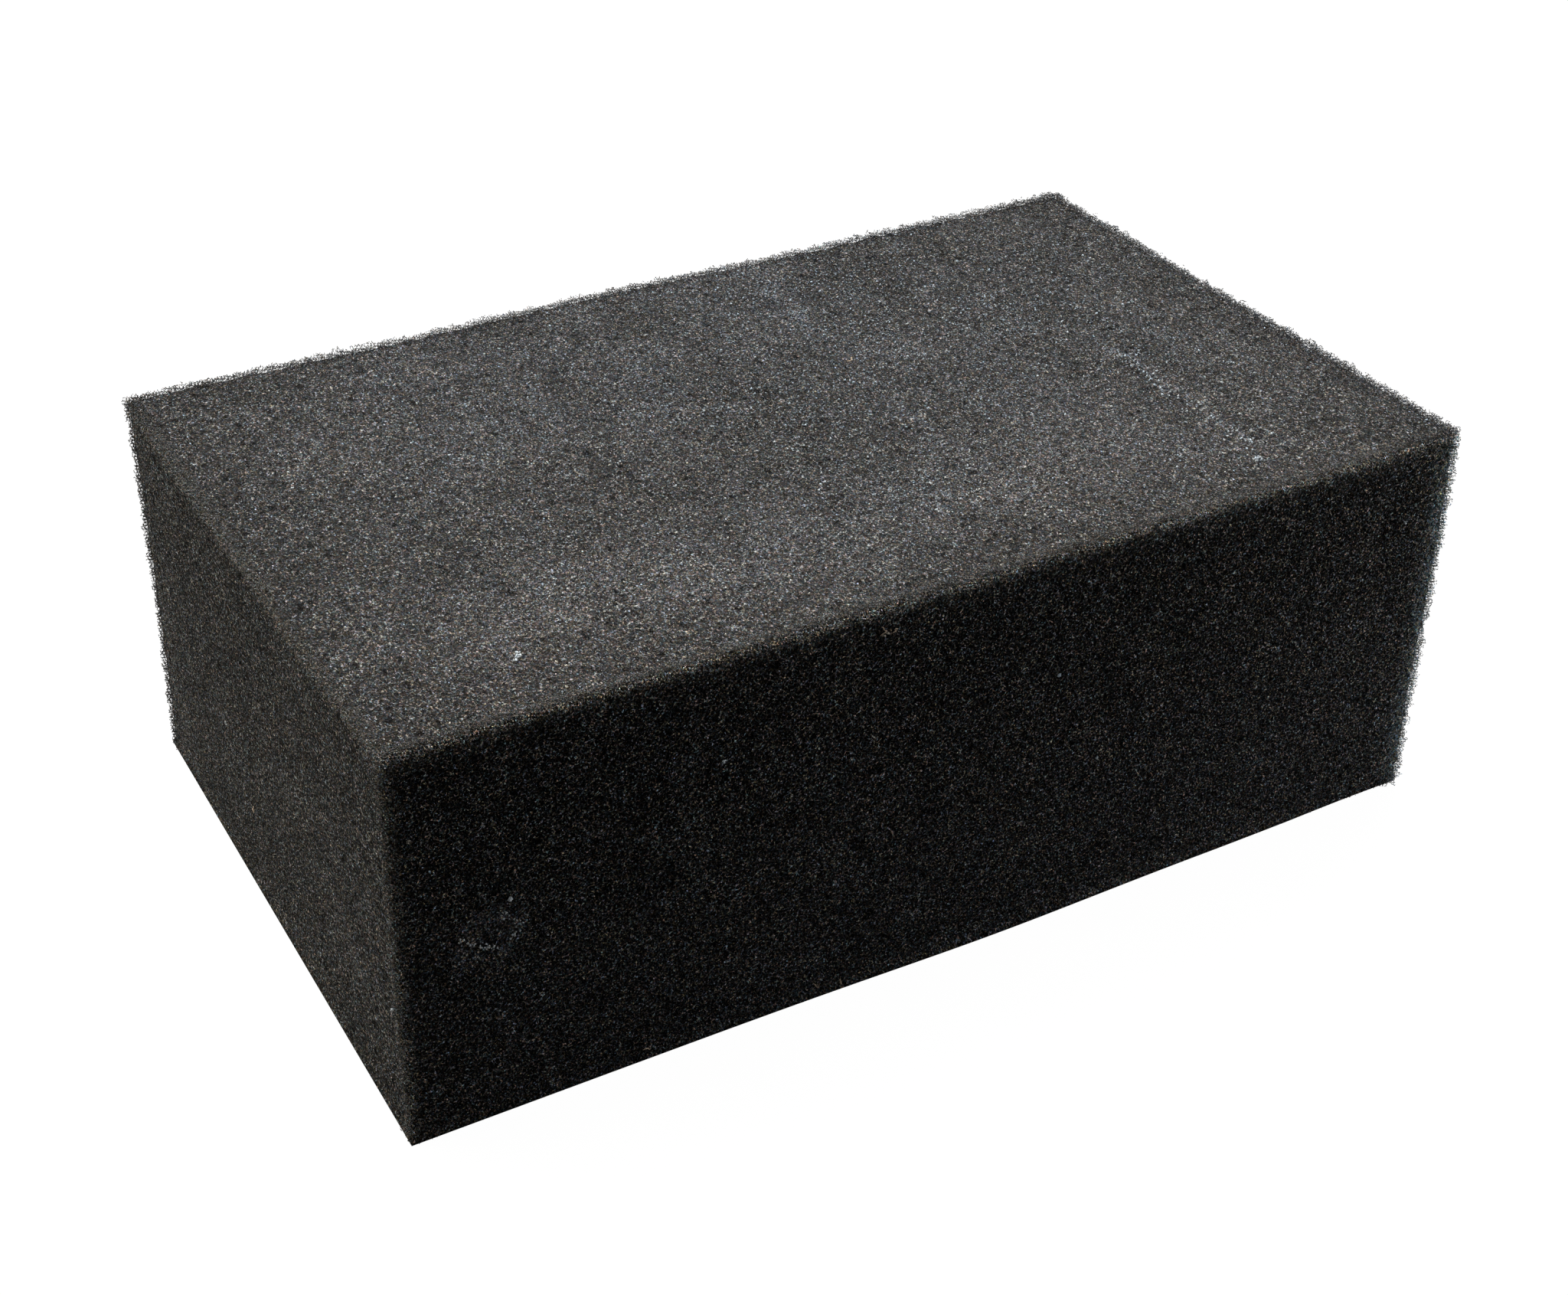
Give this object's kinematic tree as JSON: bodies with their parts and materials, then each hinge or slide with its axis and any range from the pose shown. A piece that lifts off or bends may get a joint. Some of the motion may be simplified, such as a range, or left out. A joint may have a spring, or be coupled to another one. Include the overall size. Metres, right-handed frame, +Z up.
{
  "type": "masonry sponge",
  "caption": "Rectangular block of black open-cell foam with soft, wire-cut faces and lightly worn, dusty edges, for wiping and floating masonry.",
  "frame": {"origin": "on the flat base, under the middle of the block's outline", "axes": "+X along the length to the right end, +Y along the width to the back, +Z up from the base"},
  "size_m": [0.2048, 0.1276, 0.0762],
  "materials": {
    "foam": "matt black open-cell polyurethane foam, with pale dust on the top"
  },
  "bodies": {
    "root": {"foam_block": "foam"}
  },
  "joints": []
}
